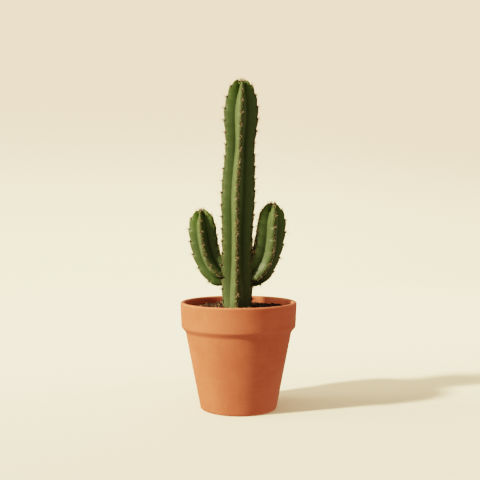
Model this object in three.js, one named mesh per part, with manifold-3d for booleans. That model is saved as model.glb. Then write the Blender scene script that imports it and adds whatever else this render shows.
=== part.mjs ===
// A tall columnar cactus with two arms, growing in a terracotta pot of soil.
// Millimetres, +Z up. The origin is on the pot's axis, on the surface that the pot stands on,
// and -Y is the front. A direction round a stem is an angle from the front, positive towards +X.
import * as THREE from "three";
import { mergeVertices } from "three/addons/utils/BufferGeometryUtils.js";
import Module from "manifold-3d";

const wasm = await Module();
wasm.setup();

// ---- Driving sizes ---------------------------------------------------------------------------

// Gap left between pieces that touch.
const clearance = 0.3;

const pot = {
  height: 110,
  lipRadius: 60, // outside, at the top
  collarHeight: 25.4, // the straight band below the lip
  collarTaper: 1.1, // how much narrower the collar is at its lower edge
  collarStep: 4.3, // how far the collar stands out of the body
  collarSlope: 5, // height of the sloping underside of the collar
  baseRadius: 39.3,
  lipWall: 4.6,
  bodyWall: 5, // at the foot of the inner wall
  floor: 6,
  drainRadius: 6,
  lipRounding: 1.9,
  edgeRounding: 1.6, // the collar's lower edges
  baseRounding: 2.2,
  floorRounding: 4,
  segments: 56,
};

const soil = {
  headspace: 7.6, // lip to soil at the wall
  rise: 2, // how much higher the soil is at the stem than at the wall
  moundReach: 1.8, // radius of the raised soil round the stem, over the stem's radius
  moundShare: 0.75, // its height as a share of the rise
  wallSlack: 1.1, // gap to the sloping wall, over the clearance
};

// Girth lists hold pairs: a height as a share of the stem's length above its foot, and the radius
// over the ridges as a share of the stem's radius.
const stem = {
  height: 234.1, // from the soil line at the pot's wall to the crown
  buried: 35.4, // length in the soil
  radius: 18,
  ridgeTurn: 0, // degrees from the front to the nearest ridge
  ribDepth: 0.4, // valley depth as a share of the radius
  crownDepth: 0.44, // the same near the crown, where the young ribs are narrower
  crownReach: 60, // length of stem over which the ribs deepen
  crownSink: 2.4, // how far the growing point lies below the crown
  footFade: 100, // length over which the ribs grow out of the smooth foot
  // Sideways lean of the axis along the length, as [share of the length, offset].
  lean: [[0, -1.4], [0.13, -1.4], [0.36, -1.2], [0.56, -0.2], [0.76, 1.6], [1, 3.4]],
  girth: [
    [0.02, 0.34],
    [0.06, 0.56],
    [0.12, 0.78],
    [0.19, 0.88],
    [0.44, 0.92],
    [0.56, 1],
    [0.66, 0.94],
    [0.75, 0.845],
    [0.81, 0.92],
    [0.865, 0.995],
    [0.915, 0.93],
    [0.95, 0.8],
    [0.978, 0.63],
    [0.994, 0.42],
    [1, 0.24],
  ],
  ringCount: 34,
};

// Both arms leave the main stem sideways and turn up. Reach and rise go from the main stem's axis
// to the growing point. The root is set back behind that axis, and the arm comes forward from it.
const armGirth = [
  [0.05, 0.32],
  [0.12, 0.72],
  [0.2, 0.96],
  [0.4, 0.98],
  [0.62, 1],
  [0.78, 0.985],
  [0.87, 0.9],
  [0.935, 0.72],
  [0.98, 0.46],
  [1, 0.22],
];

const armShared = {
  ribDepth: 0.36,
  crownDepth: 0.4,
  crownReach: 40,
  crownSink: 1.8,
  footFade: 16,
  elbow: 0.84, // where the arm starts to turn up, as a share of its reach
  knee: 0.9, // where it is nearly upright, as a share of its reach
  kneeRise: 0.4, // and as a share of its rise
  girth: armGirth,
  ringCount: 24,
};

const leftArm = {
  ...armShared,
  heading: -106, // degrees from the front
  setBack: 1, // from the main stem's axis back to the arm's root
  rootHeight: 32.6, // above the soil line
  reach: 39.2,
  rise: 69,
  radius: 14.7,
  ridgeTurn: -4,
};

const rightArm = {
  ...armShared,
  heading: 94,
  setBack: 6,
  rootHeight: 32.6,
  reach: 36.2,
  rise: 75.5,
  radius: 15.7,
  ridgeTurn: 13,
};

const ribCount = 5;
const sidesPerRib = 6;
const crestRounding = 0.28; // of a rib, as a share of the way from its crest to the valley
const faceHollow = 0.65; // how far a rib's faces are hollowed, from 0 for straight ones
const crownFade = 0.5; // length of outline over which the ribs fade at the tip, over the radius
const steepestRibFace = 45; // degrees that a rib's faces lean at most
const leastRadius = 0.05; // of a ring near a stem's end
const weldDistance = 1e-4;

// ---- Outlines --------------------------------------------------------------------------------

const soilLine = pot.height - soil.headspace;
const collarLowRadius = pot.lipRadius - pot.collarTaper;
const bodyTopRadius = collarLowRadius - pot.collarStep;
const bodyTop = pot.height - pot.collarHeight - pot.collarSlope;

/** Outer radius of the pot's plain body at a height below the collar. */
function bodyRadiusAt(height) {
  return THREE.MathUtils.lerp(pot.baseRadius, bodyTopRadius, height / bodyTop);
}

/** Radius of the pot's inner wall, one straight taper from the lip to the floor. */
function innerRadiusAt(height) {
  const lip = pot.lipRadius - pot.lipWall;
  const foot = bodyRadiusAt(pot.floor) - pot.bodyWall;
  return THREE.MathUtils.mapLinear(height, pot.floor, pot.height, foot, lip);
}

/** The point at a given distance from one point towards another. */
function pointTowards(from, to, distance) {
  return from.clone().add(to.clone().sub(from).setLength(distance));
}

/**
 * A closed outline through corners given as [radius, height, rounding]. A rounded corner becomes
 * a quadratic arc that starts and ends its rounding away from the corner.
 */
function roundedOutline(corners, arcSteps = 4) {
  const places = corners.map(([x, y]) => new THREE.Vector2(x, y));
  const points = [];
  corners.forEach(([, , rounding], i) => {
    const here = places[i];
    if (!rounding) {
      points.push(here);
      return;
    }
    const before = places.at(i - 1);
    const after = places[(i + 1) % places.length];
    const start = pointTowards(here, before, rounding);
    const end = pointTowards(here, after, rounding);
    points.push(...new THREE.QuadraticBezierCurve(start, here, end).getPoints(arcSteps));
  });
  return points;
}

/** An outline with its first point repeated at its end. */
function closed(outline) {
  return [...outline, outline[0].clone()];
}

// ---- Solids ----------------------------------------------------------------------------------

/** A closed geometry as a solid that can be cut. */
function solidFrom(geometry) {
  const bare = new THREE.BufferGeometry();
  bare.setAttribute("position", geometry.getAttribute("position").clone());
  bare.setIndex(geometry.index);
  const merged = mergeVertices(bare, weldDistance);
  return new wasm.Manifold(
    new wasm.Mesh({
      numProp: 3,
      vertProperties: new Float32Array(merged.attributes.position.array),
      triVerts: new Uint32Array(merged.index.array),
    }),
  );
}

/** A solid's surface as a geometry. */
function geometryFrom(solid) {
  const surface = solid.getMesh();
  const geometry = new THREE.BufferGeometry();
  geometry.setAttribute("position", new THREE.BufferAttribute(surface.vertProperties, 3));
  geometry.setIndex(new THREE.BufferAttribute(surface.triVerts, 1));
  geometry.computeVertexNormals();
  return geometry;
}

/** An outline of [radius, height] points turned about the Z axis. */
function turned(outline) {
  return new THREE.LatheGeometry(outline, pot.segments).rotateX(Math.PI / 2);
}

/** Rings of equal length joined into one closed skin, with a single point at each end. */
function skinnedRings(firstPole, rings, lastPole) {
  const sides = rings[0].length;
  const vertices = [firstPole, ...rings.flat(), lastPole];
  const last = vertices.length - 1;
  const at = (ring, side) => 1 + ring * sides + (side % sides);
  const faces = [];
  for (let side = 0; side < sides; side += 1) {
    faces.push(0, at(0, side + 1), at(0, side));
    for (let ring = 0; ring < rings.length - 1; ring += 1) {
      faces.push(at(ring, side), at(ring, side + 1), at(ring + 1, side + 1));
      faces.push(at(ring, side), at(ring + 1, side + 1), at(ring + 1, side));
    }
    faces.push(at(rings.length - 1, side), at(rings.length - 1, side + 1), last);
  }
  const geometry = new THREE.BufferGeometry().setFromPoints(vertices);
  geometry.setIndex(faces);
  return geometry;
}

// ---- Ribbed stems ----------------------------------------------------------------------------

/**
 * The outline of a stem's ridges, from its foot to its growing point, as a curve whose x is the
 * distance from the axis and whose z is the distance along it.
 */
function ridgeOutline(shape, length) {
  const shoulder = shape.girth.map(
    ([along, share]) => new THREE.Vector3(share * shape.radius, 0, along * length),
  );
  const foot = new THREE.Vector3(0, 0, 0);
  const growingPoint = new THREE.Vector3(0, 0, length - shape.crownSink);
  return new THREE.CatmullRomCurve3([foot, ...shoulder, growingPoint]);
}

/**
 * Height of a rib, from 1 at its crest to 0 in the valley, as its faces fall: nearly straight, with
 * a rounded crest and a creased valley. The distance from the crest runs from 0 to 1.
 */
function ribHeight(fromCrest) {
  const fall = Math.hypot(fromCrest, crestRounding) - crestRounding;
  const left = 1 - fall / (Math.hypot(1, crestRounding) - crestRounding);
  return THREE.MathUtils.lerp(left, left * left, faceHollow);
}

/** Depth of the valleys at a place along the ridge outline, fading out towards both ends. */
function valleyDepth(shape, along, fromEnd, length) {
  const crownShare = THREE.MathUtils.smoothstep(along, length - shape.crownReach, length);
  const depth = THREE.MathUtils.lerp(shape.ribDepth, shape.crownDepth, crownShare);
  const footFade = THREE.MathUtils.smoothstep(along, 0, shape.footFade);
  const tipFade = THREE.MathUtils.smoothstep(fromEnd, 0, shape.radius * crownFade);
  return depth * shape.radius * footFade * tipFade;
}

/**
 * A stem with rounded ridges and creased valleys round an axis. Its rings are carried along the
 * axis, and a valley is the ridge outline moved in along its own normal. Growing the stem moves
 * its whole surface out by that much.
 */
function ribbedStem(shape, axis, growth = 0) {
  const length = axis.getLength();
  const outline = ridgeOutline(shape, length);
  const outlineLength = outline.getLength();
  const sides = ribCount * sidesPerRib;

  const place = (distance, out, angle) => {
    const share = THREE.MathUtils.clamp(distance / length, 0, 1);
    const tangent = axis.getTangentAt(share);
    const front = new THREE.Vector3(0, -1, 0).projectOnPlane(tangent).normalize();
    const right = new THREE.Vector3().crossVectors(tangent, front);
    return axis
      .getPointAt(share)
      .addScaledVector(tangent, distance - share * length)
      .addScaledVector(front, out * Math.cos(angle))
      .addScaledVector(right, out * Math.sin(angle));
  };

  const ringAt = (share) => {
    const ridge = outline.getPointAt(share);
    const slope = outline.getTangentAt(share);
    const depth = valleyDepth(shape, ridge.z, (1 - share) * outlineLength, length);
    return Array.from({ length: sides }, (_, side) => {
      const fromCrest = Math.abs(((side + sidesPerRib / 2) % sidesPerRib) / sidesPerRib - 0.5) * 2;
      const inset = depth * (1 - ribHeight(fromCrest)) - growth;
      const out = Math.max(ridge.x - inset * slope.z, leastRadius);
      const angle = THREE.MathUtils.degToRad(shape.ridgeTurn + (360 * side) / sides);
      return place(ridge.z + inset * slope.x, out, angle);
    });
  };

  const rings = Array.from({ length: shape.ringCount }, (_, i) =>
    ringAt((i + 1) / (shape.ringCount + 1)),
  );
  return skinnedRings(
    place(-growth, 0, 0),
    rings,
    place(length - shape.crownSink + growth, 0, 0),
  );
}

/** The main stem's axis, from its foot in the soil to its crown. */
function stemAxis() {
  const length = stem.buried + stem.height;
  const points = stem.lean.map(
    ([share, offset]) => new THREE.Vector3(offset, 0, soilLine - stem.buried + share * length),
  );
  return new THREE.CatmullRomCurve3(points);
}

/** An arm's axis, from its root behind the main stem's axis, out sideways and up to its tip. */
function armAxis(arm, mainAxis) {
  const heading = THREE.MathUtils.degToRad(arm.heading);
  const outward = new THREE.Vector3(Math.sin(heading), -Math.cos(heading), 0);
  const root = mainAxis.getPointAt((stem.buried + arm.rootHeight) / mainAxis.getLength());
  const from = (out, up) => {
    const point = root.clone().addScaledVector(outward, out * arm.reach);
    point.y += (1 - out) * arm.setBack;
    point.z += up * arm.rise;
    return point;
  };
  return new THREE.CubicBezierCurve3(
    from(0, 0),
    from(arm.elbow, 0),
    from(arm.knee, arm.kneeRise),
    from(1, 1),
  );
}

// ---- Pieces ----------------------------------------------------------------------------------

/** The pot: a tapering body with a thick collar, a floor and one drainage hole. */
function potGeometry() {
  return turned(
    closed(
      roundedOutline([
        [pot.drainRadius, 0, 0],
        [pot.baseRadius, 0, pot.baseRounding],
        [bodyTopRadius, bodyTop, pot.edgeRounding],
        [collarLowRadius, bodyTop + pot.collarSlope, pot.edgeRounding],
        [pot.lipRadius, pot.height, pot.lipRounding],
        [innerRadiusAt(pot.height), pot.height, pot.lipRounding],
        [innerRadiusAt(pot.floor), pot.floor, pot.floorRounding],
        [pot.drainRadius, pot.floor, 0],
      ]),
    ),
  );
}

/** The soil: it fills the pot to the soil line, rises a little to the stem and holds its foot. */
function soilGeometry(mainAxis) {
  const floor = pot.floor + clearance;
  const wallGap = clearance * soil.wallSlack;
  const moundRadius = stem.radius * soil.moundReach;
  const fill = turned([
    new THREE.Vector2(0, floor),
    ...roundedOutline([
      [0, floor, 0],
      [innerRadiusAt(floor) - wallGap, floor, pot.floorRounding + clearance],
      [innerRadiusAt(soilLine) - wallGap, soilLine, 0],
      [moundRadius, soilLine + soil.rise * soil.moundShare, 0],
      [0, soilLine + soil.rise, 0],
    ]).slice(1),
  ]);
  return geometryFrom(solidFrom(fill).subtract(grownStem(mainAxis)));
}

/** The main stem moved out far enough for its slanting rib faces to keep the clearance. */
function grownStem(mainAxis) {
  const growth = clearance / Math.cos(THREE.MathUtils.degToRad(steepestRibFace));
  return solidFrom(ribbedStem(stem, mainAxis, growth));
}

/** An arm, whose root ends where it meets the main stem. */
function armGeometry(arm, mainAxis) {
  const whole = solidFrom(ribbedStem(arm, armAxis(arm, mainAxis)));
  return geometryFrom(whole.subtract(grownStem(mainAxis)));
}

/** One named mesh with its own material. */
function piece(name, geometry, color, roughness) {
  const material = new THREE.MeshStandardMaterial({ color, roughness, metalness: 0 });
  const mesh = new THREE.Mesh(geometry, material);
  mesh.name = name;
  return mesh;
}

const mainAxis = stemAxis();

const pottedCactus = new THREE.Group();
pottedCactus.add(
  piece("terracotta_pot", potGeometry(), "#c8764a", 0.85),
  piece("potting_soil", soilGeometry(mainAxis), "#2c2016", 1),
  piece("main_stem", ribbedStem(stem, mainAxis), "#5f7440", 0.5),
  piece("left_arm", armGeometry(leftArm, mainAxis), "#667b45", 0.5),
  piece("right_arm", armGeometry(rightArm, mainAxis), "#5b7040", 0.5),
);

export default pottedCactus;
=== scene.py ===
import math

import bpy
import numpy as np
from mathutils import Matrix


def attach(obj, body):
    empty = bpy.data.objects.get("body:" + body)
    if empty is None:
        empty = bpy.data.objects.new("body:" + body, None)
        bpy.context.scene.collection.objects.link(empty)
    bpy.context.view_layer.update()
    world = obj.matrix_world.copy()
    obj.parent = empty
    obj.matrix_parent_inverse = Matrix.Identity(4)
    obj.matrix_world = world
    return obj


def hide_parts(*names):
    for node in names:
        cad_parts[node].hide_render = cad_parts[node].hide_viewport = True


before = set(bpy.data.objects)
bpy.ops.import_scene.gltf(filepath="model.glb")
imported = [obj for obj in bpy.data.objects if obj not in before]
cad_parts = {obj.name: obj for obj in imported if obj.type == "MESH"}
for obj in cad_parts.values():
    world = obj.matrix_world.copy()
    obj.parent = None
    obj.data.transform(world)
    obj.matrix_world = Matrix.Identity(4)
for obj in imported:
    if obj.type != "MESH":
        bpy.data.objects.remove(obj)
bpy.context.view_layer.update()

bl_info = {
    "name": "Potted tall cactus",
    "version": (1, 0, 0),
    "blender": (4, 5, 0),
    "location": "3D View > Sidebar > Cactus",
    "description": "Builds a tall cactus with two arms in a terracotta pot round its CAD frame",
    "category": "Object",
}

# Metres throughout. The origin is on the pot's axis, on the surface that the pot stands on, +Z is
# up and -Y is the front. A direction round a stem is an angle from the front, positive towards +X.
MM = 0.001
BODY = "root"

RIBS = 5
RIB_ANGLE = 2 * math.pi / RIBS
AREOLE_TURN = 2 / 5  # stagger of the areoles from each rib to the next, in areole spacings

# Girth: a height as a share of the stem's length, and the ridge radius as a share of its radius.
STEM_GIRTH = (
    (0.02, 0.34), (0.06, 0.56), (0.12, 0.78), (0.19, 0.88), (0.44, 0.92), (0.56, 1.0),
    (0.66, 0.94), (0.75, 0.845), (0.81, 0.92), (0.865, 0.995), (0.915, 0.93), (0.95, 0.8),
    (0.978, 0.63), (0.994, 0.42), (1.0, 0.24),
)
ARM_GIRTH = (
    (0.05, 0.32), (0.12, 0.72), (0.2, 0.96), (0.4, 0.98), (0.62, 1.0), (0.78, 0.985),
    (0.87, 0.9), (0.935, 0.72), (0.98, 0.46), (1.0, 0.22),
)
# Sideways offset of the main stem's axis in millimetres, at shares of its length.
STEM_LEAN = ((0, -1.4), (0.13, -1.4), (0.36, -1.2), (0.56, -0.2), (0.76, 1.6), (1, 3.4))
# Turn of the ridges about the axis in degrees, at shares of the length.
STEM_TWIST = (
    (0, 0), (0.2, 0), (0.36, -2.2), (0.52, -4), (0.64, -2.5), (0.74, 0), (0.87, 2.5), (1, 3),
)
LEFT_TWIST = ((0, -3), (0.3, -2), (0.7, -1.5), (1, 1))
RIGHT_TWIST = ((0, 15), (0.3, 14), (0.55, 9), (0.8, 2), (1, 1))
# Columns of the skin from a crest to a valley, closest where the rib bends most.
CREST_TO_VALLEY = (0, 0.03, 0.065, 0.11, 0.165, 0.23, 0.31, 0.41, 0.53, 0.66, 0.79, 0.92)
CREST_ROUNDING = 0.4  # of a rib's section, as a share of half its width
FACE_HOLLOW = 0.6  # how hollow its faces are: 0 is straight, 1 is a parabola's hollow

POT_COLUMNS = 224
POT_STEP = 3 * MM  # longest step of the pot's outline
SOCKET_ROWS, SOIL_TOP_ROWS, SOIL_WALL_ROWS = 24, 46, 14  # rings of the soil's skin
STEM_ROWS, LEFT_ROWS, RIGHT_ROWS = 600, 300, 310  # rings of the stems' skins
SKIN_START = 1 * MM  # where the main stem's skin starts, above its foot
FULL_AGE = 270 * MM  # distance from a growing point at which skin is old

# A cushion's rings: their heights and widths as shares of its own, and the corners of each.
CUSHION_LIFT, CUSHION_WIDTH, CUSHION_SIDES = (-0.5, 0.15, 0.62, 0.9), (0.8, 1.0, 0.78, 0.42), 8
CUSHION_POLES = (-0.6, 1.0)  # heights of its under and upper poles
# A needle's rings: how far along it they are, their widths, and the corners of each.
NEEDLE_ALONG, NEEDLE_WIDTH, NEEDLE_SIDES = (0.0, 0.4, 0.8), (1.0, 0.8, 0.42), 5
RADIAL_LEAN, CENTRAL_LEAN = (12, 45), (50, 88)  # degrees that spines stand up from the skin
UNBROKEN = 0.92  # share of the spines that haven't broken off
BRISTLE_STRETCH = 500 * MM  # length of outline that the number of bristles is given for


# ---- Settings ------------------------------------------------------------------------------------


def size(name, description, millimetres):
    """A length, kept in metres."""
    return bpy.props.FloatProperty(
        name=name, description=description, default=millimetres * MM, min=0.0,
        unit="LENGTH", subtype="DISTANCE", precision=4,
    )


def turn(name, description, degrees):
    """An angle, kept in radians."""
    return bpy.props.FloatProperty(
        name=name, description=description, default=math.radians(degrees),
        unit="ROTATION", subtype="ANGLE",
    )


def share(name, description, default):
    """A share from 0 to 1."""
    return bpy.props.FloatProperty(
        name=name, description=description, default=default, min=0.0, max=1.0, subtype="FACTOR",
    )


def amount(name, description, default):
    """A plain number that isn't negative."""
    return bpy.props.FloatProperty(name=name, description=description, default=default, min=0.0)


def count(name, description, default):
    """A whole number."""
    return bpy.props.IntProperty(name=name, description=description, default=default, min=1)


def colour(name, description, red, green, blue):
    """A linear colour."""
    return bpy.props.FloatVectorProperty(
        name=name, description=description, default=(red, green, blue, 1.0),
        size=4, min=0.0, max=1.0, subtype="COLOR",
    )


class PotSettings(bpy.types.PropertyGroup):
    """The terracotta pot's sizes and colours."""

    height: size("Height", "From the foot to the lip", 110)
    lip_radius: size("Lip radius", "Outside, at the top", 60)
    collar_height: size("Collar height", "Straight band below the lip", 25.4)
    collar_taper: size("Collar taper", "How much narrower the collar is lower down", 1.1)
    collar_step: size("Collar step", "How far the collar stands out of the body", 4.3)
    collar_slope: size("Collar slope", "Height of the collar's sloping underside", 5)
    base_radius: size("Base radius", "Outside, at the foot", 39.3)
    lip_wall: size("Lip wall", "Thickness at the lip", 4.6)
    body_wall: size("Body wall", "Thickness at the foot of the inner wall", 5)
    floor: size("Floor", "Thickness of the floor", 6)
    drain_radius: size("Drain radius", "Radius of the drainage hole", 6)
    lip_rounding: size("Lip rounding", "Rounding of the lip's two edges", 1.9)
    edge_rounding: size("Edge rounding", "Rounding of the collar's lower edges", 1.6)
    base_rounding: size("Base rounding", "Rounding of the foot", 2.2)
    floor_rounding: size("Floor rounding", "Rounding inside at the floor", 4)
    unevenness: size("Unevenness", "How far the fired wall strays from round", 0.12)
    clay: colour("Clay", "Main colour of the fired clay", 0.365, 0.102, 0.056)
    pale_clay: colour("Pale clay", "Colour of its paler clouds and worn edges", 0.43, 0.145, 0.085)
    deep_clay: colour("Deep clay", "Colour of its darker clouds", 0.325, 0.085, 0.044)
    # Damp clay: the darkening inside, partly a damp stain and partly painted shade, and the fine
    # dark grain.
    damp_clay: colour("Damp clay", "Colour inside, at the soil", 0.20, 0.045, 0.024)


class SoilSettings(bpy.types.PropertyGroup):
    """The soil's sizes and colours."""

    headspace: size("Headspace", "From the lip down to the soil at the wall", 7.6)
    rise: size("Rise", "How much higher the soil is at the stem", 2)
    clearance: size("Clearance", "Gap to the pot and the stem", 0.3)
    lumps: size("Lumps", "Height of the surface's lumps", 0.7)
    crumb: size("Crumb", "Radius of a middling crumb", 0.75)
    crumbs: count("Crumbs", "Dark crumbs on the surface", 6200)
    grit: count("Grit", "Pale grains of grit on the surface", 2800)
    chips: count("Chips", "Larger flakes of bark and clay", 140)
    dark: colour("Dark soil", "Colour of the finest soil", 0.010, 0.0055, 0.003)
    brown: colour("Brown soil", "Colour of the crumbs", 0.075, 0.038, 0.020)
    pale: colour("Pale grit", "Colour of the lightest grit", 0.62, 0.46, 0.33)
    rosy: colour("Rosy grit", "Colour of the reddish grit", 0.40, 0.20, 0.13)


class StemShape:
    """Settings that every ribbed stem has."""

    areole_spacing: size("Areole spacing", "Along a rib, on grown skin", 12.3)
    areole_start: share("Areole start", "Where the first areoles are, in spacings", 0.3)
    bulge: size("Bulge", "How far a rib swells below each areole", 0.8)
    wander: turn("Wander", "How far a ridge strays from straight", 1.2)


class MainStemSettings(StemShape, bpy.types.PropertyGroup):
    """The main stem's sizes."""

    height: size("Height", "From the soil line to the crown", 234.1)
    buried: size("Buried", "Length in the soil", 35.4)
    radius: size("Radius", "Over the ridges, at the thickest", 18)
    ridge_turn: turn("Ridge turn", "From the front to the nearest ridge", 0)
    rib_depth: share("Rib depth", "Valley depth over the radius", 0.4)
    crown_depth: share("Crown depth", "The same near the crown", 0.44)
    crown_reach: size("Crown reach", "Length over which the ribs deepen", 60)
    crown_sink: size("Crown sink", "Depth of the growing point below the crown", 2.4)
    foot_fade: size("Foot fade", "Length over which the ribs grow out of the foot", 100)


class ArmShape(StemShape):
    """Settings that both arms have."""

    rib_depth: share("Rib depth", "Valley depth over the radius", 0.36)
    crown_depth: share("Crown depth", "The same near the crown", 0.4)
    crown_reach: size("Crown reach", "Length over which the ribs deepen", 40)
    crown_sink: size("Crown sink", "Depth of the growing point below the crown", 1.8)
    foot_fade: size("Foot fade", "Length over which the ribs grow out of the root", 16)
    elbow: share("Elbow", "Where the arm starts to turn up, over its reach", 0.84)
    knee: share("Knee", "Where it is nearly upright, over its reach", 0.9)
    knee_rise: share("Knee rise", "Height of the knee, over the rise", 0.4)
    root_height: size("Root height", "Above the soil line", 32.6)
    inside: size("Inside", "Distance from the stem's axis where the arm's skin starts", 7)


class LeftArmSettings(ArmShape, bpy.types.PropertyGroup):
    """The left arm's sizes."""

    heading: turn("Heading", "Direction that the arm leaves the stem in", -106)
    set_back: size("Set back", "From the stem's axis back to the arm's root", 1)
    reach: size("Reach", "From the stem's axis to the growing point", 39.2)
    rise: size("Rise", "From the root to the growing point", 69)
    radius: size("Radius", "Over the ridges, at the thickest", 14.7)
    ridge_turn: turn("Ridge turn", "From the front to the nearest ridge", -4)


class RightArmSettings(ArmShape, bpy.types.PropertyGroup):
    """The right arm's sizes."""

    heading: turn("Heading", "Direction that the arm leaves the stem in", 94)
    set_back: size("Set back", "From the stem's axis back to the arm's root", 6)
    reach: size("Reach", "From the stem's axis to the growing point", 36.2)
    rise: size("Rise", "From the root to the growing point", 75.5)
    radius: size("Radius", "Over the ridges, at the thickest", 15.7)
    ridge_turn: turn("Ridge turn", "From the front to the nearest ridge", 13)


class SkinSettings(bpy.types.PropertyGroup):
    """The cactus skin's colours."""

    green: colour("Green", "Grown skin", 0.042, 0.064, 0.0215)
    # Deep green: painted shade towards the valleys, and also the darker mottle between the blooms.
    deep: colour("Deep green", "Skin in the valleys and between the blooms", 0.025, 0.042, 0.011)
    young: colour("Young green", "Skin near a growing point", 0.052, 0.084, 0.013)
    # Pale bloom, laid mostly on the faces towards the key light: painted light.
    bloom: colour("Bloom", "Waxy bloom on the sunward faces", 0.078, 0.100, 0.047)
    aged: colour("Aged green", "Old skin near the soil", 0.042, 0.052, 0.019)
    cork: colour("Cork", "Corky scars along the ridges", 0.044, 0.034, 0.014)
    speck: colour("Speck", "Pale dots on old skin", 0.34, 0.27, 0.15)
    # Direction of the painted light: faces that look this way get the pale bloom.
    painted_light_side: turn("Sunny side", "Direction that the bleached faces look in", -68)


class SpineSettings(bpy.types.PropertyGroup):
    """The areoles' and spines' sizes and colours."""

    felt: size("Felt", "Half the length of an areole's cushion", 1.5)
    radial: size("Radial spine", "Length of a middling outer spine", 3.4)
    central: size("Central spine", "Length of a middling inner spine", 5.0)
    thickness: size("Thickness", "Radius of a spine at its base", 0.2)
    bristle: size("Bristle", "Length of a middling bristle on an old ridge", 1.3)
    radials: count("Outer spines", "In the star of each areole", 11)
    centrals: count("Inner spines", "Standing out of each areole", 3)
    bristles: count("Bristles", "Along half a metre of stem", 3400)
    tip_cushions: count("Tip cushions", "Felt cushions at each growing point", 11)
    tip_spines: count("Tip spines", "Young spines at each growing point", 26)
    fresh_felt: colour("Fresh felt", "Felt near a growing point", 0.11, 0.048, 0.018)
    old_felt: colour("Old felt", "Felt of the older areoles", 0.018, 0.0135, 0.0075)
    horn: colour("Horn", "Spines at their base", 0.052, 0.035, 0.018)
    tip: colour("Tip", "Spines at their tip", 0.028, 0.019, 0.010)
    straw: colour("Straw", "The palest spines", 0.62, 0.50, 0.28)


class StageSettings(bpy.types.PropertyGroup):
    """The floor, the light and the camera."""

    radius: size("Radius", "Radius of the floor", 3000)
    wall: size("Wall", "Height of the backdrop's wall", 1300)
    paper: colour("Paper", "Colour of the floor", 0.93, 0.85, 0.66)
    # Darker paper in front of the pot: painted shade.
    painted_shade_paper: colour("Near paper", "Colour of the floor in front of the pot", 0.72, 0.645, 0.50)
    glow: colour("Glow", "Light of the backdrop at the floor", 0.984, 0.808, 0.44)
    high_glow: colour("High glow", "Light of the backdrop higher up", 0.745, 0.524, 0.305)
    glow_strength: amount("Glow strength", "Strength of the backdrop's own light", 2.1)
    sky: colour("Sky", "Colour of the fill light", 1.0, 0.82, 0.63)
    warmth: colour("Warmth", "Colour of the key light", 1.0, 0.91, 0.66)
    fill: amount("Fill", "Strength of the fill light", 0.88)
    sun: amount("Sun", "Strength of the key light", 8.0)
    side: amount("Side", "Strength of the soft side light", 1.9)
    side_width: turn("Side width", "Angle that the side light fills", 28)
    side_height: turn("Side height", "Angle of the side light above the floor", 20)
    sun_width: turn("Sun width", "Angle that the key light fills", 5)
    sun_height: turn("Sun height", "Angle of the key light above the floor", 29)
    sun_heading: turn("Sun heading", "Direction of the light over the floor, from +X to +Y", 25)
    lens: size("Lens", "Focal length for a sensor 36 mm wide", 58.2)
    distance: size("Distance", "From the pot's axis to the camera", 799.5)
    eye_height: size("Eye height", "Height of the camera", 200)
    eye_side: size("Eye side", "How far the camera is right of the pot's axis", 1.48)
    pitch: turn("Pitch", "How far the camera looks down", 1.902)


class CactusSettings(bpy.types.PropertyGroup):
    """All settings of the potted cactus."""

    pot: bpy.props.PointerProperty(name="Pot", description="The pot", type=PotSettings)
    soil: bpy.props.PointerProperty(name="Soil", description="The soil", type=SoilSettings)
    stem: bpy.props.PointerProperty(name="Stem", description="Main stem", type=MainStemSettings)
    left: bpy.props.PointerProperty(name="Left arm", description="Left arm", type=LeftArmSettings)
    right: bpy.props.PointerProperty(
        name="Right arm", description="Right arm", type=RightArmSettings)
    skin: bpy.props.PointerProperty(name="Skin", description="The skin", type=SkinSettings)
    spines: bpy.props.PointerProperty(name="Spines", description="Spines", type=SpineSettings)
    stage: bpy.props.PointerProperty(name="Stage", description="The stage", type=StageSettings)


# ---- Arithmetic ----------------------------------------------------------------------------------


def blend(low, high, factor):
    """The mix of two values: low plus the factor times their difference."""
    return low + (high - low) * factor


def ease(value, start, end):
    """A smooth step: with t running from 0 at start to 1 at end, it is 3t squared less 2t cubed."""
    t = np.clip((value - start) / (end - start), 0, 1)
    return t * t * (3 - 2 * t)


def unit(vectors):
    """Vectors divided by their lengths."""
    return vectors / np.linalg.norm(vectors, axis=-1, keepdims=True)


def travelled(points):
    """The distance from the first point to each point, along the line through them all."""
    steps = np.linalg.norm(np.diff(points, axis=0), axis=1)
    return np.concatenate([[0.0], np.cumsum(steps)])


def looked_up(at, table_at, table):
    """Rows of a table at places between those it is given for, mixed from the nearest two."""
    columns = [np.interp(at, table_at, column) for column in table.T]
    return np.stack(columns, axis=-1)


def smooth_curve(points, steps=40):
    """A centripetal Catmull-Rom curve through points, as a close row of points on it.

    Each stretch is a Hermite cubic. Its end slopes come from the neighbouring points, with knots
    apart by the square root of the distance. Beyond each end a point is mirrored in the end.
    """
    points = np.asarray(points, float)
    row = np.vstack([2 * points[0] - points[1], points, 2 * points[-1] - points[-2]])
    knot = np.sqrt(np.linalg.norm(np.diff(row, axis=0), axis=1))[:, None]
    before, start, end, after = row[:-3], row[1:-2], row[2:-1], row[3:]
    k0, k1, k2 = knot[:-2], knot[1:-1], knot[2:]
    leaving = k1 * ((start - before) / k0 - (end - before) / (k0 + k1) + (end - start) / k1)
    arriving = k1 * ((end - start) / k1 - (after - start) / (k1 + k2) + (after - end) / k2)
    t = (np.arange(steps) / steps)[:, None, None]
    curve = (
        (2 * t**3 - 3 * t**2 + 1) * start
        + (t**3 - 2 * t**2 + t) * leaving
        + (3 * t**2 - 2 * t**3) * end
        + (t**3 - t**2) * arriving
    )
    return np.vstack([curve.transpose(1, 0, 2).reshape(-1, points.shape[1]), points[-1:]])


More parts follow.
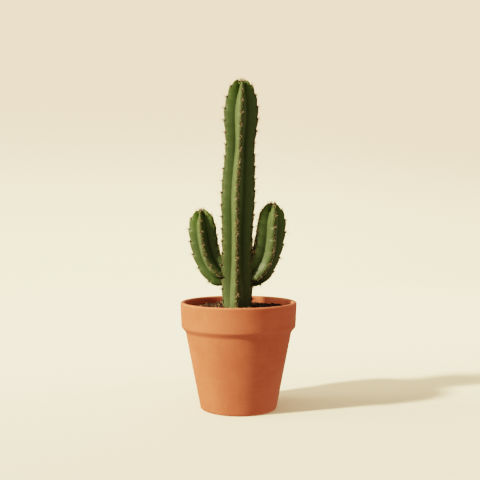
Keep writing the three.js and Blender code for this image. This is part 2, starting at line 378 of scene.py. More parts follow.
def bezier_curve(corners, steps=300):
    """A cubic Bezier curve: its four corners weighted by the four Bernstein cubics."""
    t = np.linspace(0, 1, steps)[:, None]
    weights = ((1 - t) ** 3, 3 * t * (1 - t) ** 2, 3 * t**2 * (1 - t), t**3)
    return sum(weight * corner for weight, corner in zip(weights, corners))


def rounded_outline(corners, steps=8):
    """A closed outline through corners given as (radius, height, rounding).

    A rounded corner is a quadratic arc: it leaves one side and meets the next at the rounding's
    distance from the corner, with the corner as its control point.
    """
    places = np.array([corner[:2] for corner in corners])
    t = np.linspace(0, 1, steps + 1)[:, None]
    parts = []
    for i, (_, _, rounding) in enumerate(corners):
        here = places[i]
        if not rounding:
            parts.append(here[None])
            continue
        start = here + rounding * unit(places[i - 1] - here)
        end = here + rounding * unit(places[(i + 1) % len(places)] - here)
        parts.append((1 - t) ** 2 * start + 2 * t * (1 - t) * here + t**2 * end)
    return np.vstack(parts)


def with_steps(outline, longest):
    """A closed outline with points added so that no step of it is longer than a given length."""
    ends = np.roll(outline, -1, axis=0)
    counts = np.ceil(np.linalg.norm(ends - outline, axis=1) / longest).astype(int).clip(1)
    first = np.repeat(np.cumsum(counts) - counts, counts)
    part = (np.arange(counts.sum()) - first) / np.repeat(counts, counts)
    starts = np.repeat(outline, counts, axis=0)
    return starts + part[:, None] * (np.repeat(ends, counts, axis=0) - starts)


def wave_noise(x, y, z, seed, scale, waves=5):
    """Smooth unevenness between about -1 and 1: the mean of sines that run in random directions,
    with wavelengths from half the scale to twice the scale."""
    rng = np.random.default_rng(seed)
    total = 0.0
    for _ in range(waves):
        direction = unit(rng.normal(size=3)) * 2 * math.pi / (scale * 2 ** rng.uniform(-1, 1))
        phase = rng.uniform(0, 2 * math.pi)
        total = total + np.sin(x * direction[0] + y * direction[1] + z * direction[2] + phase)
    return total / math.sqrt(waves)


# ---- Meshes --------------------------------------------------------------------------------------


def grid_faces(rows, columns, first=0):
    """Four-cornered faces between rows of a grid whose last column joins its first."""
    row, column = np.meshgrid(np.arange(rows - 1), np.arange(columns), indexing="ij")
    after = (column + 1) % columns
    corners = [(row, column), (row, after), (row + 1, after), (row + 1, column)]
    return np.stack([first + r * columns + c for r, c in corners], axis=-1).reshape(-1, 4)


def pole_faces(ring, pole, upper):
    """Three-cornered faces from a ring of points to a pole above it or below it."""
    after = np.roll(ring, -1)
    poles = np.full_like(ring, pole)
    corners = (ring, after, poles) if upper else (after, ring, poles)
    return np.stack(corners, axis=-1)


def skin_faces(rows, columns):
    """Faces of a skin whose points are a first pole, the rows of a grid and a last pole."""
    last = rows * columns
    return [
        grid_faces(rows, columns, 1),
        pole_faces(np.arange(1, columns + 1), 0, False),
        pole_faces(np.arange(last - columns + 1, last + 1), last + 1, True),
    ]


def repeated_faces(faces, points_each, copies):
    """The faces of one shape, for each of its copies in turn."""
    shift = points_each * np.arange(copies)
    return (shift[:, None, None] + faces).reshape(-1, faces.shape[1])


def make_piece(name, points, faces, material, marks=None, smooth=True):
    """A mesh piece that rides on the object's one body. Marks are numbers for every point."""
    mesh = bpy.data.meshes.new(name)
    face_list = [face for part in faces for face in part.tolist()]
    mesh.from_pydata(np.reshape(points, (-1, 3)).tolist(), [], face_list)
    mesh.polygons.foreach_set("use_smooth", [smooth] * len(mesh.polygons))
    for key, values in (marks or {}).items():
        mark = mesh.attributes.new(key, "FLOAT", "POINT")
        mark.data.foreach_set("value", np.ravel(values).astype(np.float32))
    mesh.materials.append(material)
    mesh.update()
    piece = bpy.data.objects.new(name, mesh)
    bpy.context.scene.collection.objects.link(piece)
    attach(piece, BODY)
    return piece


# ---- Materials -----------------------------------------------------------------------------------


class Recipe:
    """A node material under construction. Each method adds a node and returns its output."""

    def __init__(self, name):
        self.material = bpy.data.materials.new(name)
        self.material.use_nodes = True
        self.tree = self.material.node_tree
        self.shader = self.tree.nodes["Principled BSDF"]
        self.place = self.add("ShaderNodeTexCoord").outputs["Object"]

    def add(self, kind, inputs=None, **settings):
        """A node whose inputs are numbers, colours, or outputs of other nodes."""
        node = self.tree.nodes.new(kind)
        for key, value in settings.items():
            setattr(node, key, value)
        for key, value in (inputs or {}).items():
            self.feed(node.inputs[key], value)
        return node

    def feed(self, socket, value):
        """Links an output to a socket, or sets the socket's value."""
        if isinstance(value, bpy.types.NodeSocket):
            self.tree.links.new(value, socket)
        else:
            socket.default_value = value

    def mark(self, name):
        """A number kept on the mesh's points."""
        return self.add("ShaderNodeAttribute", attribute_name=name).outputs["Fac"]

    def stretched(self, x, y, z):
        """The place on the piece with each axis scaled."""
        node = self.add("ShaderNodeMapping", {"Vector": self.place, "Scale": (x, y, z)})
        return node.outputs["Vector"]

    def noise(self, grain, detail=3.0, rough=0.55, place=None):
        """Soft noise from 0 to 1 whose grain is a length."""
        inputs = {
            "Vector": place or self.place, "Scale": 1 / grain, "Detail": detail, "Roughness": rough,
        }
        return self.add("ShaderNodeTexNoise", inputs).outputs["Fac"]

    def dots(self, grain):
        """Distance to the nearest of scattered dots that are a grain apart."""
        inputs = {"Vector": self.place, "Scale": 1 / grain}
        return self.add("ShaderNodeTexVoronoi", inputs).outputs["Distance"]

    def step(self, value, start, end, low=0.0, high=1.0):
        """A smooth step of a number, from low at start to high at end."""
        inputs = {
            "Value": value, "From Min": start, "From Max": end, "To Min": low, "To Max": high,
        }
        node = self.add("ShaderNodeMapRange", inputs, interpolation_type="SMOOTHSTEP")
        return node.outputs["Result"]

    def math(self, operation, first, second=0.0):
        """Arithmetic on two numbers."""
        node = self.add("ShaderNodeMath", {0: first, 1: second}, operation=operation)
        return node.outputs[0]

    def parts(self, vector):
        """The three parts of a vector."""
        return self.add("ShaderNodeSeparateXYZ", {"Vector": vector}).outputs

    def mix(self, factor, first, second):
        """Two colours mixed by a factor."""
        node = self.add("ShaderNodeMix", {0: factor, 6: first, 7: second}, data_type="RGBA")
        return node.outputs[2]

    def bump(self, height, distance, strength=1.0, under=None):
        """A bump of the surface: its height from 0 to 1 stands for a distance."""
        inputs = {"Height": height, "Distance": distance, "Strength": strength}
        if under is not None:
            inputs["Normal"] = under
        return self.add("ShaderNodeBump", inputs).outputs["Normal"]

    def finish(self, **inputs):
        """Feeds the shader, and returns the material."""
        for key, value in inputs.items():
            self.feed(self.shader.inputs[key.replace("_", " ")], value)
        return self.material


def terracotta(pot):
    """Fired clay: soft clouds of paler and deeper clay, faint turning rings, fine pores, worn pale
    edges, and a darkening inside towards the soil that is partly a damp stain and partly painted
    shade."""
    clay = Recipe("terracotta")
    clouds = clay.noise(0.045, 4, 0.6)
    mottle = clay.noise(0.006, 3, 0.6)
    rings = clay.noise(0.05, 2, 0.5, clay.stretched(1, 1, 22))
    grain = clay.noise(0.0007, 3, 0.7)
    pores = clay.dots(0.0021)
    body = clay.mix(clay.step(clouds, 0.38, 0.66), pot.deep_clay, pot.clay)
    body = clay.mix(clay.step(mottle, 0.45, 0.8, 0, 0.2), body, pot.pale_clay)
    body = clay.mix(clay.step(rings, 0.45, 0.75, 0, 0.1), body, pot.pale_clay)
    body = clay.mix(clay.step(grain, 0.3, 0.5, 0.16, 0), body, pot.damp_clay)
    wear = clay.math("MULTIPLY", clay.mark("edge"), clay.step(mottle, 0.3, 0.65, 0.1, 0.75))
    body = clay.mix(wear, body, pot.pale_clay)
    # Damp stain and painted shade: the inside wall darkens towards the soil.
    darker_share = clay.math("MULTIPLY", clay.mark("inside"), clay.step(clouds, 0.2, 0.75, 0.8, 0.4))
    body = clay.mix(darker_share, body, pot.damp_clay)
    under = clay.bump(rings, 0.0003, 0.22)
    under = clay.bump(grain, 0.00012, 0.5, under)
    normal = clay.bump(clay.step(pores, 0.0, 0.16), 0.00015, 0.4, under)
    return clay.finish(
        Base_Color=body, Roughness=clay.step(mottle, 0.25, 0.8, 0.74, 0.92), Normal=normal,
        Specular_IOR_Level=0.3,
    )


def fine_soil(soil):
    """The soil under the crumbs: dark and rough, with brown lumps and reddish flecks. To the right
    of the stem it turns darkest, which is painted shade."""
    earth = Recipe("fine_soil")
    lumps = earth.noise(0.0016, 5, 0.7)
    flecks = earth.noise(0.0007, 2, 0.6)
    base = earth.mix(earth.step(lumps, 0.4, 0.75), soil.dark, soil.brown)
    base = earth.mix(earth.step(flecks, 0.66, 0.76, 0, 0.35), base, soil.rosy)
    # Painted shade: the soil goes to its darkest colour to the right of the stem, where its shadow
    # falls.
    darker_share = earth.step(earth.parts(earth.place)[0], 0.0, 0.02)
    base = earth.mix(darker_share, base, soil.dark)
    return earth.finish(
        Base_Color=base, Roughness=earth.step(lumps, 0.3, 0.8, 0.85, 0.98),
        Normal=earth.bump(lumps, 0.0009, 0.9), Specular_IOR_Level=0.2,
    )


def grains(name, dark, light, grain):
    """Loose grains: each has its own tone between two colours, with a finely mottled face."""
    heap = Recipe(name)
    mottle = heap.noise(grain, 3, 0.65)
    base = heap.mix(heap.mark("tone"), dark, light)
    base = heap.mix(heap.step(mottle, 0.4, 0.7, 0.35, 0), base, dark)
    return heap.finish(
        Base_Color=base, Roughness=heap.step(mottle, 0.3, 0.7, 0.72, 0.95),
        Normal=heap.bump(mottle, grain / 3, 0.6), Specular_IOR_Level=0.25,
    )


def cactus_skin(skin):
    """Waxy green skin. A pale bloom is laid mostly on the faces that look towards the key light,
    which is painted light, and painted shade turns the faces deeper green towards the valleys. The
    tips are fresh, and old ridges have corky bands and pale dots."""
    hide = Recipe("cactus_skin")
    crest, age, painted_sunlit = hide.mark("crest"), hide.mark("age"), hide.mark("painted_sunlit")
    clouds = hide.noise(0.014, 4, 0.6, hide.stretched(1, 1, 0.45))
    mottle = hide.noise(0.0026, 4, 0.65)
    streaks = hide.noise(0.004, 3, 0.6, hide.stretched(1, 1, 0.12))
    scabs = hide.noise(0.0022, 5, 0.75)
    grain = hide.noise(0.00055, 2, 0.6)
    # Painted shade: each face turns deep green towards its valley.
    base = hide.mix(hide.step(crest, 0.0, 0.4), skin.deep, skin.green)
    base = hide.mix(hide.step(mottle, 0.5, 0.72, 0, 0.45), base, skin.deep)
    base = hide.mix(hide.step(age, 0.0, 0.16, 0.85, 0.0), base, skin.young)
    base = hide.mix(hide.step(age, 0.5, 0.95, 0.0, 0.6), base, skin.aged)
    # Painted light: the bloom is laid mostly on the faces that look towards the key light, so the
    # lit side of every rib is paler.
    bloom_and_painted_light = hide.math(
        "MULTIPLY", hide.step(clouds, 0.3, 0.6, 0.7, 1), hide.step(streaks, 0.3, 0.6, 0.75, 1))
    bloom_and_painted_light = hide.math("MULTIPLY", bloom_and_painted_light, hide.step(painted_sunlit, 0.6, 0.96, 0.1, 0.8))
    base = hide.mix(bloom_and_painted_light, base, skin.bloom)
    old = hide.step(age, 0.15, 0.75)
    ridge = hide.math("ADD", crest, hide.math("MULTIPLY", hide.math("SUBTRACT", scabs, 0.5), 0.8))
    corky = hide.math("MULTIPLY", hide.step(ridge, 0.68, 0.95), hide.math("MAXIMUM", old, 0.6))
    base = hide.mix(hide.math("MULTIPLY", corky, 0.65), base, skin.cork)
    near_ridge = hide.math("MULTIPLY", hide.step(crest, 0.5, 0.85), hide.step(age, 0.05, 0.5))
    dots = hide.step(hide.dots(0.0015), 0.18, 0.3, 1, 0)
    dots = hide.math("MULTIPLY", dots, near_ridge)
    dots = hide.math("MULTIPLY", dots, hide.step(hide.noise(0.004, 2), 0.44, 0.58))
    base = hide.mix(dots, base, skin.speck)
    dullness = hide.math(
        "ADD", hide.step(clouds, 0.3, 0.7, 0.42, 0.58), hide.math("MULTIPLY", corky, 0.3))
    under = hide.bump(streaks, 0.0008, 0.25)
    under = hide.bump(hide.math("MULTIPLY", corky, scabs), 0.0008, 0.7, under)
    normal = hide.bump(grain, 0.0001, 0.35, under)
    return hide.finish(
        Base_Color=base, Roughness=dullness, Normal=normal, Specular_IOR_Level=0.16,
    )


def felt(spines):
    """Areole felt: golden brown while fresh, grey brown when old, with a fuzzy surface."""
    wool = Recipe("areole_felt")
    fuzz = wool.noise(0.0004, 3, 0.7)
    base = wool.mix(wool.mark("tone"), spines.old_felt, spines.fresh_felt)
    base = wool.mix(wool.step(fuzz, 0.5, 0.75, 0, 0.16), base, spines.straw)
    return wool.finish(
        Base_Color=base, Roughness=wool.step(fuzz, 0.3, 0.7, 0.85, 1.0),
        Normal=wool.bump(fuzz, 0.00025, 0.9), Specular_IOR_Level=0.15,
    )


def horn(spines):
    """Horny spines: darker to the tip, and some paler than others."""
    needle = Recipe("spine_horn")
    rings = needle.noise(0.0005, 2, 0.6)
    base = needle.mix(needle.mark("tone"), spines.horn, spines.straw)
    base = needle.mix(needle.step(needle.mark("reach"), 0.3, 1.0), base, spines.tip)
    base = needle.mix(needle.step(rings, 0.5, 0.7, 0, 0.3), base, spines.tip)
    return needle.finish(
        Base_Color=base, Roughness=needle.step(rings, 0.3, 0.7, 0.35, 0.6),
        Normal=needle.bump(rings, 0.00005, 0.4),
    )


def backdrop_paper(stage):
    """Matt paper, darkened in front of the pot by painted shade. Further out it glows by itself,
    less and less towards the top, so that the backdrop is as even as one with lights of its own."""
    paper = Recipe("backdrop_paper")
    x, y, z = paper.parts(paper.place)
    slant = paper.math("ADD", paper.math("MULTIPLY", x, -0.35), paper.math("MULTIPLY", y, 0.94))
    # Painted shade: the paper is mixed towards the darker colour in front of the pot.
    paper_and_painted_shade = paper.mix(paper.step(slant, -0.3, 0.45), stage.painted_shade_paper, stage.paper)
    squares = [paper.math("MULTIPLY", part, part) for part in (x, y)]
    outer = paper.step(paper.math("SQRT", paper.math("ADD", *squares)), 0.7, 1.7)
    black = (0.0, 0.0, 0.0, 1.0)
    clouds = paper.noise(0.35, 3, 0.5)
    dimmer = paper.math("ADD", paper.step(z, 0.0, 0.75), paper.step(x, 0.0, 1.4, 0.0, 0.35))
    glow = paper.mix(dimmer, stage.glow, stage.high_glow)
    glow = paper.mix(paper.step(clouds, 0.2, 0.8, 0.0, 0.02), glow, stage.high_glow)
    return paper.finish(
        Base_Color=paper.mix(outer, paper_and_painted_shade, black),
        Roughness=paper.step(clouds, 0.2, 0.8, 0.88, 0.96),
        Normal=paper.bump(paper.noise(0.002, 2), 0.0001, 0.1), Specular_IOR_Level=0.0,
        Emission_Color=paper.mix(outer, black, glow), Emission_Strength=stage.glow_strength,
    )


# ---- Stems ---------------------------------------------------------------------------------------


class Axis:
    """A curve in space that stems are built round, measured from its first point."""

    def __init__(self, points):
        self.points = points
        self.at = travelled(points)
        self.length = self.at[-1]
        self.directions = unit(np.gradient(points, self.at, axis=0))

    def beside(self, along, out, angle):
        """Points beside the axis: the point at that distance along it, plus the distance out times
        the cosine of the angle forwards and its sine to the right, both square to the axis."""
        along, out, angle = np.broadcast_arrays(along, out, angle)
        inside = np.clip(along, 0, self.length)
        direction = unit(looked_up(inside, self.at, self.directions))
        point = looked_up(inside, self.at, self.points) + direction * (along - inside)[..., None]
        front = np.array([0.0, -1.0, 0.0])
        front = unit(front - direction * (direction @ front)[..., None])
        right = np.cross(direction, front)
        around = np.cos(angle)[..., None] * front + np.sin(angle)[..., None] * right
        return point + out[..., None] * around


class RibbedStem:
    """A ribbed stem as a surface of two numbers: the share of the way along its ridge outline, from
    its foot to its growing point, and the angle round its axis from the front."""

    def __init__(self, axis, girth, twist, shape, seed):
        self.axis, self.shape, self.seed = axis, shape, seed
        middle = [(part * shape.radius, along * axis.length) for along, part in girth]
        outline = smooth_curve([(0, 0), *middle, (0, axis.length - shape.crown_sink)])
        self.outline = outline
        self.outline_at = travelled(outline)
        self.outline_length = self.outline_at[-1]
        self.slopes = unit(np.gradient(outline, self.outline_at, axis=0))
        self.twist = smooth_curve(twist)
        from_tip = np.linspace(0, self.outline_length, 2000)
        spacing = shape.areole_spacing * (1 - 0.65 * np.exp(-from_tip / (9 * MM)))
        passed = np.cumsum(1 / spacing) * (from_tip[1] - from_tip[0])
        self.from_tip, self.areoles_passed = from_tip, passed - passed[0]

    def ridge_angle(self, along):
        """Where the first rib's crest is, from the front: its own turn plus the twist."""
        part = along / self.axis.length
        twist = np.radians(np.interp(part, self.twist[:, 0], self.twist[:, 1]))
        return self.shape.ridge_turn + twist

    def rib_phase(self, rib):
        """How far the areoles of a rib are shifted, in spacings."""
        return self.shape.areole_start + (rib * AREOLE_TURN) % 1

    def rib_height(self, from_crest):
        """Height of a rib, 1 at its crest and 0 in the valley: a nearly straight face with a
        rounded crest, slightly hollowed. It is one less a hyperbola's fall, mixed with its
        square."""
        fall = np.hypot(from_crest, CREST_ROUNDING) - CREST_ROUNDING
        left = 1 - fall / (math.hypot(1, CREST_ROUNDING) - CREST_ROUNDING)
        return blend(left, left * left, FACE_HOLLOW)

    def valley_depth(self, along, from_end):
        """Depth of the valleys: a share of the radius that grows near the crown, and fades out at
        the foot and at the growing point."""
        shape, length = self.shape, self.axis.length
        crown = ease(along, length - shape.crown_reach, length)
        depth = blend(shape.rib_depth, shape.crown_depth, crown) * shape.radius
        return depth * ease(along, 0, shape.foot_fade) * ease(from_end, 0, shape.radius / 2)

    def swelling(self, rib, from_crest, along, from_end):
        """How far the skin stands out of the plain rib. Below each areole the rib swells quickly
        and sinks back slowly to the next, most at the crest. The whole skin is a little uneven."""
        shape = self.shape
        passed = np.interp(from_end, self.from_tip, self.areoles_passed)
        below = (passed - self.rib_phase(rib) - 0.22 * from_crest) % 1
        wave = ease(below, 0, 0.2) * (1 - ease(below, 0.2, 1)) - 0.35
        young = 1 + 0.8 * np.exp(-from_end / (45 * MM))
        fades = ease(along, 0, shape.foot_fade) * ease(from_end, 2 * MM, 9 * MM)
        crenate = shape.bulge * young * wave * np.exp(-((from_crest / 0.42) ** 2))
        around = rib * RIB_ANGLE
        uneven = wave_noise(
            np.cos(around) * 0.02, np.sin(around) * 0.02, along, self.seed, 38 * MM)
        return fades * (crenate + 0.22 * MM * uneven * (1 - from_crest**2))

    def surface(self, part, angle, growth=0.0):
        """Points of the skin: the ridge outline, moved in along its own normal by the valley depth
        times one less the rib's height and out by the swelling, and carried round the axis."""
        part, angle = np.broadcast_arrays(part, angle)
        reach = part * self.outline_length
        ridge = looked_up(reach, self.outline_at, self.outline)
        slope = unit(looked_up(reach, self.outline_at, self.slopes))
        along, from_end = ridge[..., 1], self.outline_length - reach
        rib = np.round(angle / RIB_ANGLE)
        from_crest = np.abs(angle / RIB_ANGLE - rib) * 2
        rib = rib % RIBS
        inset = self.valley_depth(along, from_end) * (1 - self.rib_height(from_crest)) - growth
        inset = inset - self.swelling(rib, from_crest, along, from_end)
        wander = wave_noise(rib * 0.03, 0 * along, along, self.seed + 1, 60 * MM)
        wander = self.shape.wander * wander * (1 - from_crest**2)
        out = np.maximum(ridge[..., 0] - inset * slope[..., 1], 0.02 * MM)
        turned = self.ridge_angle(along) + angle + wander
        return self.axis.beside(along + inset * slope[..., 0], out, turned)

    def directions(self, part, angle, upward, sideways):
        """Out of the skin, up along it and across it: the last two are differences between points
        a step to both sides, and the first is their cross product."""
        above = self.surface(np.minimum(part + upward, 1), angle)
        up = unit(above - self.surface(part - upward, angle))
        right = self.surface(part, angle + sideways)
        across = unit(right - self.surface(part, angle - sideways))
        return unit(np.cross(across, up)), up, across

    def share_at(self, along):
        """The share of the ridge outline at a distance along the axis."""
        rising = slice(0, int(np.argmax(self.outline[:, 1])) + 1)
        reach = np.interp(along, self.outline[rising, 1], self.outline_at[rising])
        return reach / self.outline_length

    def pole(self, along):
        """The point on the axis at a distance along it."""
        return self.axis.beside(np.array(along), np.array(0.0), np.array(0.0))

    def areoles(self):
        """The areoles: their shares of the outline, rib numbers and distances from the tip."""
        total = self.areoles_passed[-1]
        index = np.arange(0, math.ceil(total) + 1)
        rib, number = np.meshgrid(np.arange(RIBS), index, indexing="ij")
        passed = number + self.rib_phase(rib)
        keep = passed < total - 0.5
        from_end = np.interp(passed[keep], self.areoles_passed, self.from_tip)
        return 1 - from_end / self.outline_length, rib[keep], from_end


def column_angles():
    """Angles of the skin's columns round a stem: closest at every crest, the same on both sides."""
    half = np.array(CREST_TO_VALLEY)
    rib = np.concatenate([-np.array([1.0]), -half[:0:-1], half]) / 2
    return (np.arange(RIBS)[:, None] + rib[None, :]).ravel() * RIB_ANGLE


def soil_line(cactus):
    """Height of the soil at the pot's wall."""
    return cactus.pot.height - cactus.soil.headspace


def stem_axis(cactus):
    """The main stem's axis: a smooth curve through the leaning points, from its foot up."""
    stem = cactus.stem
    foot = soil_line(cactus) - stem.buried
    length = stem.buried + stem.height
    return Axis(smooth_curve([(lean * MM, 0, foot + part * length) for part, lean in STEM_LEAN]))


def arm_axis(cactus, arm):
    """An arm's axis: a Bezier curve that starts at or behind the stem's axis, runs out sideways and
    turns up. It comes forward evenly by as much as its root is set back."""
    trunk = stem_axis(cactus)
    root = looked_up(cactus.stem.buried + arm.root_height, trunk.at, trunk.points)
    outward = np.array([math.sin(arm.heading), -math.cos(arm.heading), 0.0]) * arm.reach
    upward = np.array([0.0, 0.0, arm.rise])
    backward = np.array([0.0, arm.set_back, 0.0])
    corners = [(0, 0), (arm.elbow, 0), (arm.knee, arm.knee_rise), (1, 1)]
    return Axis(bezier_curve([
        root + out * outward + up * upward + (1 - out) * backward for out, up in corners
    ]))


def all_stems(cactus):
    """The main stem and the two arms, by the names of their CAD nodes. Each has its own seed."""
    left, right = cactus.left, cactus.right
    return {
        "main_stem": RibbedStem(stem_axis(cactus), STEM_GIRTH, STEM_TWIST, cactus.stem, 11),
        "left_arm": RibbedStem(arm_axis(cactus, left), ARM_GIRTH, LEFT_TWIST, left, 23),
        "right_arm": RibbedStem(arm_axis(cactus, right), ARM_GIRTH, RIGHT_TWIST, right, 37),
    }


def facing(points, direction):
    """How much each point of a skin's grid faces a direction: the dot product with its normal,
    which is the cross product of the steps round the skin and up it."""
    around = np.roll(points, -1, axis=1) - np.roll(points, 1, axis=1)
    upward = np.gradient(points, axis=0)
    return unit(np.cross(around, upward)) @ direction


def make_stem(name, node, stem, start, rows, material, painted_light_toward):
    """The skin of a stem, from a distance along its axis to its growing point, closed at both.

    Its marks are how near each point is to a crest, how far it is from the growing point, and how
    much it faces the direction that the painted light comes from.
    """
    part = blend(stem.share_at(start), 1, np.arange(rows) / rows)[:, None]
    angle = column_angles()[None, :]
    grid = stem.surface(part, angle)
    points = np.vstack([
        stem.pole(start)[None], grid.reshape(-1, 3),
        stem.pole(stem.axis.length - stem.shape.crown_sink)[None],
    ])
    from_crest = np.abs(angle / RIB_ANGLE - np.round(angle / RIB_ANGLE)) * 2
    crest = np.broadcast_to(1 - from_crest, (rows, angle.size)).ravel()
    age = np.broadcast_to((1 - part) * stem.outline_length / FULL_AGE, (rows, angle.size)).ravel()
    marks = {
        "crest": np.concatenate([[0.5], crest, [0.5]]),
        "age": np.concatenate([age[:1], age, [0.0]]),
        "painted_sunlit": np.concatenate([[0.0], facing(grid, painted_light_toward).ravel(), [0.0]]),
    }
    piece = make_piece(name, points, skin_faces(rows, angle.size), material, marks)
    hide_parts(node)
    return piece


def areole_frames(cactus):
    """Every areole that shows: its place, its three directions (out of the skin, up along the rib
    and across it), its distance from the tip, and a random number of its own."""
    stems = all_stems(cactus)
    lowest = soil_line(cactus) + cactus.soil.rise + 2.5 * MM
    trunk = stems["main_stem"]
    found = []
    for name, stem in stems.items():
        part, rib, from_end = stem.areoles()
        angle = rib * RIB_ANGLE
        place = stem.surface(part, angle)
        out, up, _ = stem.directions(part, angle, 0.6 * MM / stem.outline_length, 0.06)
        keep = place[:, 2] > lowest
        if name != "main_stem":
            above_foot = place[:, 2] - trunk.axis.points[0, 2]
            middle = looked_up(above_foot, trunk.axis.at, trunk.axis.points)
            apart = np.hypot(place[:, 0] - middle[:, 0], place[:, 1] - middle[:, 1])
            keep &= apart > trunk.shape.radius
        found.append(np.column_stack([place, out, up, np.cross(up, out), from_end])[keep])
    table = np.vstack(found)
    luck = np.random.default_rng(5).random(len(table))
    return table[:, 0:3], table[:, 3:6], table[:, 6:9], table[:, 9:12], table[:, 12], luck


# ---- Small shapes --------------------------------------------------------------------------------


def placed(local, place, out, up, across):
    """Copies of a small shape: each local point is its place plus its three coordinates times the
    copy's directions across, up and out."""
    basis = np.stack([across, up, out], axis=1)
    return place[:, None, :] + np.einsum("nki,nij->nkj", local, basis)


def cushion_points(half_length, half_width, height):
    """Oval cushions lying on a plane: rings that shrink about as the cosine and rise about as the
    sine, from an underside sunk below the plane to a top pole."""
    angle = np.linspace(0, 2 * math.pi, CUSHION_SIDES, endpoint=False)
    width = np.array(CUSHION_WIDTH)[:, None]
    x, y = width * np.sin(angle), width * np.cos(angle)
    z = np.broadcast_to(np.array(CUSHION_LIFT)[:, None], x.shape)
    ring = np.stack([x, y, z], axis=-1).reshape(-1, 3)
    under, upper = CUSHION_POLES
    shape = np.vstack([[0, 0, under], ring, [0, 0, upper]])
    scale = np.stack([half_width, half_length, height], axis=-1)
    return shape[None] * scale[:, None, :]


def cushion_faces(copies):
    """Faces of the cushions, whose rings run clockwise seen from outside."""
    rings = len(CUSHION_LIFT)
    points_each = rings * CUSHION_SIDES + 2
    return [
        repeated_faces(part[:, ::-1], points_each, copies)
        for part in skin_faces(rings, CUSHION_SIDES)
    ]


def spine_points(base, direction, length, radius):
    """Tapering five-sided needles: three rings that shrink along the needle, and a point."""
    along, width = np.array(NEEDLE_ALONG), np.array(NEEDLE_WIDTH)
    angle = np.linspace(0, 2 * math.pi, NEEDLE_SIDES, endpoint=False)
    helper = np.where(np.abs(direction[:, 2:]) < 0.9, [[0.0, 0.0, 1.0]], [[1.0, 0.0, 0.0]])
    side = unit(np.cross(direction, helper))
    other = np.cross(direction, side)
    around = np.cos(angle)[:, None] * side[:, None, :] + np.sin(angle)[:, None] * other[:, None, :]
    middle = base[:, None, :] + (length[:, None] * along)[..., None] * direction[:, None, :]
    thick = (radius[:, None] * width)[..., None, None]
    rings = middle[:, :, None, :] + thick * around[:, None, :, :]
    tip = base + length[:, None] * direction
    return np.concatenate([base[:, None], rings.reshape(len(base), -1, 3), tip[:, None]], axis=1)


def make_needles(name, points, tone, spines):
    """A piece of many needles. Each has its own tone, and each point has a mark of how far it is
    towards the needle's tip."""
    copies, points_each = points.shape[:2]
    faces = [
        repeated_faces(part, points_each, copies)
        for part in skin_faces(len(NEEDLE_ALONG), NEEDLE_SIDES)
    ]
    reach = np.concatenate([[0.0], np.repeat(NEEDLE_ALONG, NEEDLE_SIDES), [1.0]])
    marks = {"tone": np.repeat(tone, points_each), "reach": np.tile(reach, copies)}
    make_piece(name, points, faces, horn(spines), marks)


def spread(direction, up, across, lean, around):
    """Directions that lean out of a plane by one angle and point round it by another."""
    flat = np.cos(around)[:, None] * up + np.sin(around)[:, None] * across
    return unit(np.sin(lean)[:, None] * direction + np.cos(lean)[:, None] * flat)


def lump_shape():
    """An icosahedron: the corners of three golden rectangles, and their twenty faces."""
    g = (1 + math.sqrt(5)) / 2
    points = [
        (-1, g, 0), (1, g, 0), (-1, -g, 0), (1, -g, 0), (0, -1, g), (0, 1, g),
        (0, -1, -g), (0, 1, -g), (g, 0, -1), (g, 0, 1), (-g, 0, -1), (-g, 0, 1),
    ]
    faces = [
        (0, 11, 5), (0, 5, 1), (0, 1, 7), (0, 7, 10), (0, 10, 11), (1, 5, 9), (5, 11, 4),
        (11, 10, 2), (10, 7, 6), (7, 1, 8), (3, 9, 4), (3, 4, 2), (3, 2, 6), (3, 6, 8),
        (3, 8, 9), (4, 9, 5), (2, 4, 11), (6, 2, 10), (8, 6, 7), (9, 8, 1),
    ]
    return unit(np.array(points, float)), np.array(faces)


def random_turns(rng, copies):
    """Rotation matrices from random unit quaternions."""
    w, x, y, z = unit(rng.normal(size=(copies, 4))).T
    rows = [
        [1 - 2 * (y * y + z * z), 2 * (x * y - z * w), 2 * (x * z + y * w)],
        [2 * (x * y + z * w), 1 - 2 * (x * x + z * z), 2 * (y * z - x * w)],
        [2 * (x * z - y * w), 2 * (y * z + x * w), 1 - 2 * (x * x + y * y)],
    ]
    return np.array(rows).transpose(2, 0, 1)


def lump_points(rng, place, radius, flatness):
    """Uneven lumps: an icosahedron with each corner pulled in or out, squashed and turned."""
    shape, _ = lump_shape()
    copies = len(place)
    pull = rng.uniform(0.72, 1.25, (copies, len(shape), 1))
    squash = np.stack(
        [rng.uniform(0.8, 1.25, copies), rng.uniform(0.75, 1.1, copies), flatness], axis=-1)
    local = shape[None] * pull * squash[:, None, :] * radius[:, None, None]
    return place[:, None, :] + np.einsum("nki,nji->nkj", local, random_turns(rng, copies))


# ---- Pot and soil --------------------------------------------------------------------------------


